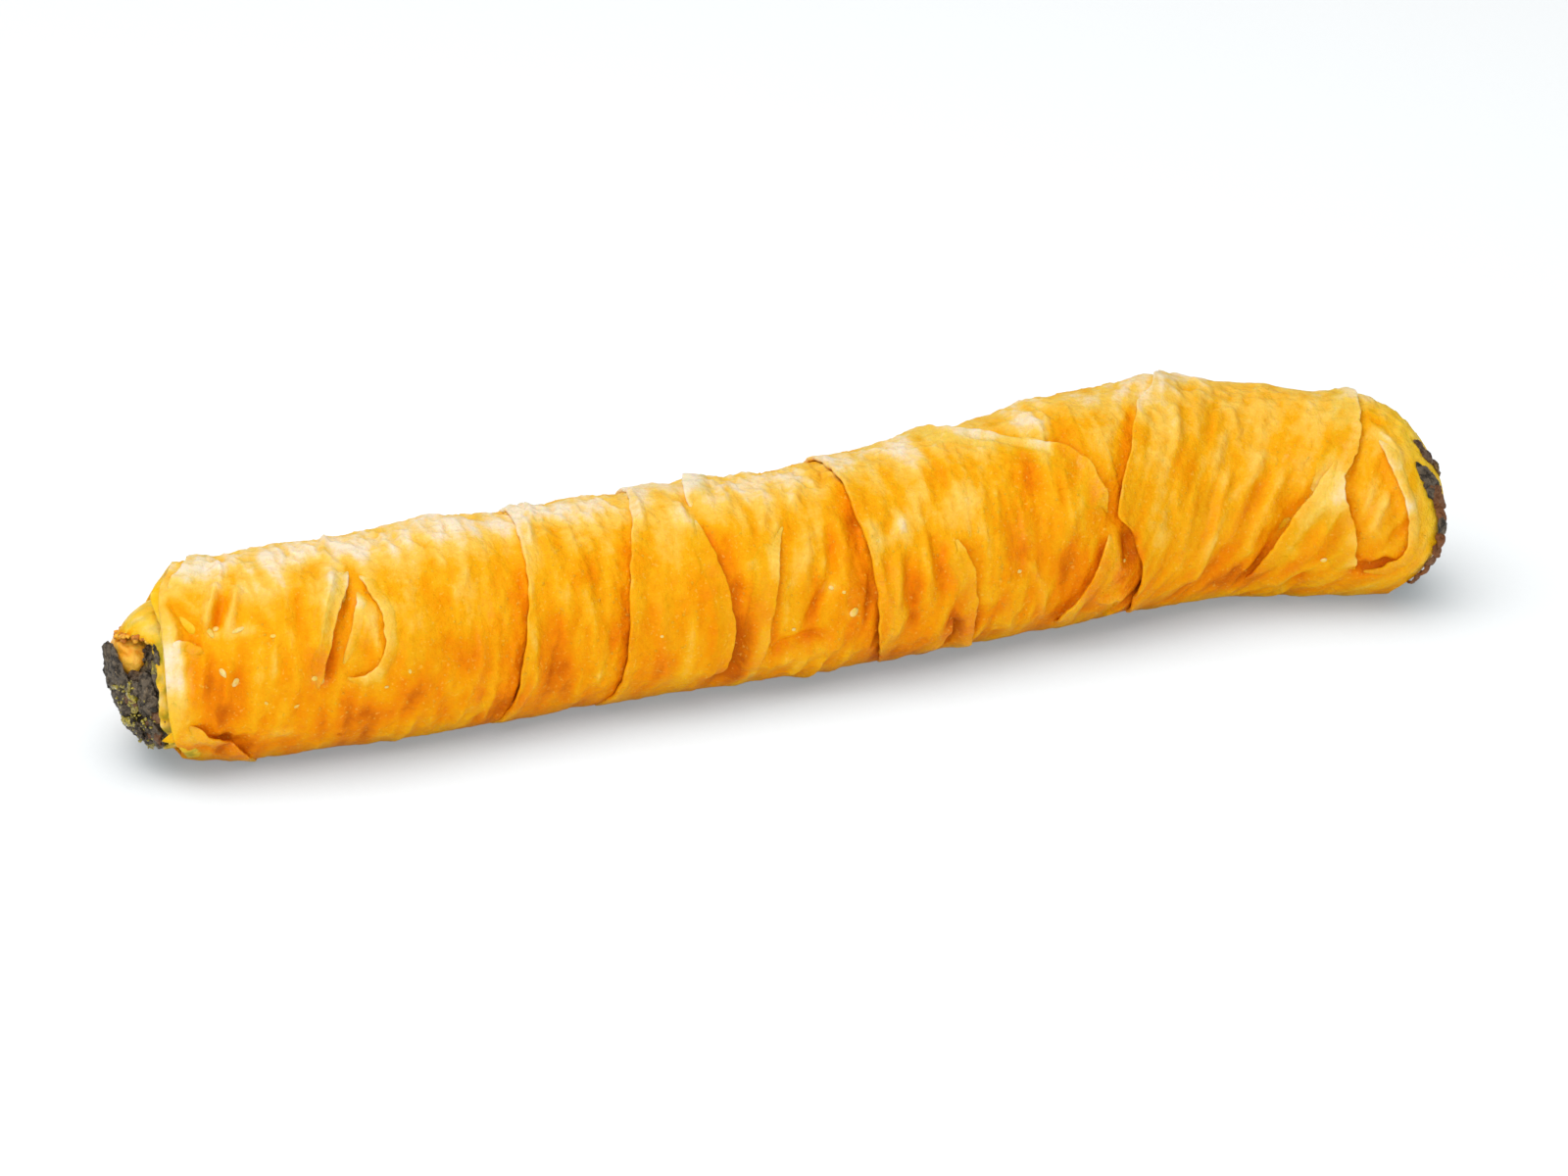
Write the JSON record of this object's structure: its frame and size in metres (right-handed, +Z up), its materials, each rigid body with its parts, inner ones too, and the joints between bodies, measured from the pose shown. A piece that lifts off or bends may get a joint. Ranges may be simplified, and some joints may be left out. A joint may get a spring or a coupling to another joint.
{
  "type": "cigar borek",
  "caption": "Baked cigar borek: a stick of thin pastry rolled and gathered round a spinach and cheese filling, open at both ends.",
  "frame": {"origin": "middle of the whole object's box, on the flat underside that it rests on", "axes": "+X along the stick towards the mouth that is nearly shut, -X towards the mouth that shows the filling and the cheese; +Z up"},
  "size_m": [0.197, 0.0424, 0.0326],
  "materials": {
    "baked_pastry": "thin baked pastry sheet, golden with pale crests and orange-brown folds, a slight oily sheen",
    "cooked_spinach": "cooked spinach leaves, dark grey-green to nearly black, moist, with yellow-green oil at the edges",
    "toasted_cheese": "toasted crumbly cheese, orange-yellow, browned on top, slightly moist"
  },
  "bodies": {
    "root": {"pastry": "baked_pastry", "spinach_filling": "cooked_spinach", "cheese_lump": "toasted_cheese"}
  },
  "joints": []
}
